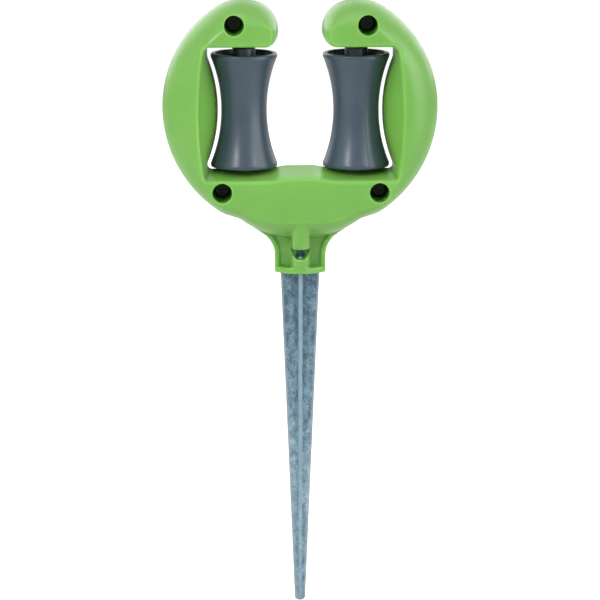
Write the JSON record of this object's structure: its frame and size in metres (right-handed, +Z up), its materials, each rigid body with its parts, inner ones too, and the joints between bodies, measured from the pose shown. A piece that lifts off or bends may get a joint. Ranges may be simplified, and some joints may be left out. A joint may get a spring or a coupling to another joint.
{
  "type": "hose guide stake",
  "caption": "Ground spike with an open horseshoe head holding waisted rollers that spin freely and lead a garden hose round a bed's corner.",
  "frame": {"origin": "on the spike's axis at the underside of the socket's collar, where the head stops on the ground", "axes": "+Z up the spike's axis, +X across the head from the left roller to the right one, the front with the screw holes faces -Y"},
  "size_m": [0.138, 0.04, 0.3094],
  "materials": {
    "green_plastic": "satin moulded plastic",
    "grey_plastic": "satin moulded plastic",
    "axle_steel": "bright drawn steel",
    "galvanised_steel": "hot-dip galvanised with a mottled spangle",
    "screw_steel": "blackened"
  },
  "bodies": {
    "head": {"front_shell": "green_plastic", "rear_shell": "green_plastic", "left_axle": "axle_steel", "right_axle": "axle_steel", "stake": "galvanised_steel", "shell_screws": "screw_steel"},
    "left_roller": {"left_roller": "grey_plastic"},
    "right_roller": {"right_roller": "grey_plastic"}
  },
  "joints": [
    {"name": "left_roller_spin", "type": "hinge", "parent": "head", "child": "left_roller", "pos_m": [-0.0281, 0, 0.08212], "axis": [0, 0, 1], "continuous": true},
    {"name": "right_roller_spin", "type": "hinge", "parent": "head", "child": "right_roller", "pos_m": [0.0281, 0, 0.08212], "axis": [0, 0, 1], "continuous": true}
  ]
}
